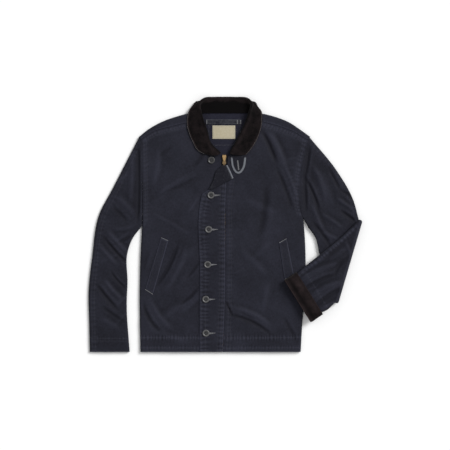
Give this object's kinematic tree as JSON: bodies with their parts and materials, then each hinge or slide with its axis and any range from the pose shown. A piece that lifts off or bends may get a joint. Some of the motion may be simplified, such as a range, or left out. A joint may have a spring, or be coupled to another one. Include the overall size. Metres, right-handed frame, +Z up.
{
  "type": "deck jacket",
  "caption": "Dark cotton deck jacket laid flat: corduroy collar, buttoned storm flap over a brass zip, slanted welt pockets, one sleeve folded with its cuff turned back.",
  "frame": {"origin": "on the surface that the jacket lies on, under the centre of its outline", "axes": "+Z up from that surface, +Y from the hem towards the collar, +X towards the wearer's left sleeve"},
  "size_m": [0.7799, 0.7257, 0.0296],
  "materials": {
    "jungle_cloth": "dense corded cotton, matt, slightly faded at the edges",
    "brown_corduroy": "fine-wale cotton corduroy, matt nap",
    "navy_lining": "plain cotton lining, matt",
    "cream_label": "bare woven cotton label",
    "zip_tape": "herringbone cotton tape",
    "brass": "aged brass, satin",
    "dark_brass": "tarnished brass, satin",
    "dark_button": "urea resin, low gloss"
  },
  "bodies": {
    "jacket": {"back": "jungle_cloth", "front_right": "jungle_cloth", "front_left": "jungle_cloth", "shoulder_right": "jungle_cloth", "shoulder_left": "jungle_cloth", "sleeve_right_top": "jungle_cloth", "sleeve_right_under": "jungle_cloth", "sleeve_left_top": "jungle_cloth", "sleeve_left_under": "jungle_cloth", "cuff_left": "brown_corduroy", "collar": "brown_corduroy", "neck_lining": "navy_lining", "hanger_loop": "jungle_cloth", "label": "cream_label", "welt_right": "jungle_cloth", "welt_left": "jungle_cloth", "throat_tab": "jungle_cloth", "storm_flap": "jungle_cloth", "flap_facing": "jungle_cloth", "zip_tape": "zip_tape", "zip_slider": "brass", "button_1": "dark_button", "button_2": "dark_button", "button_3": "dark_button", "button_4": "dark_button", "button_5": "dark_button", "button_6": "dark_button"},
    "pull": {"zip_pull": "dark_brass"}
  },
  "joints": [
    {"name": "pull_hinge", "type": "hinge", "parent": "jacket", "child": "pull", "pos_m": [-0.0018, 0.18334, 0.0108], "axis": [-1, 0, 0], "range_deg": [0, 150]}
  ]
}
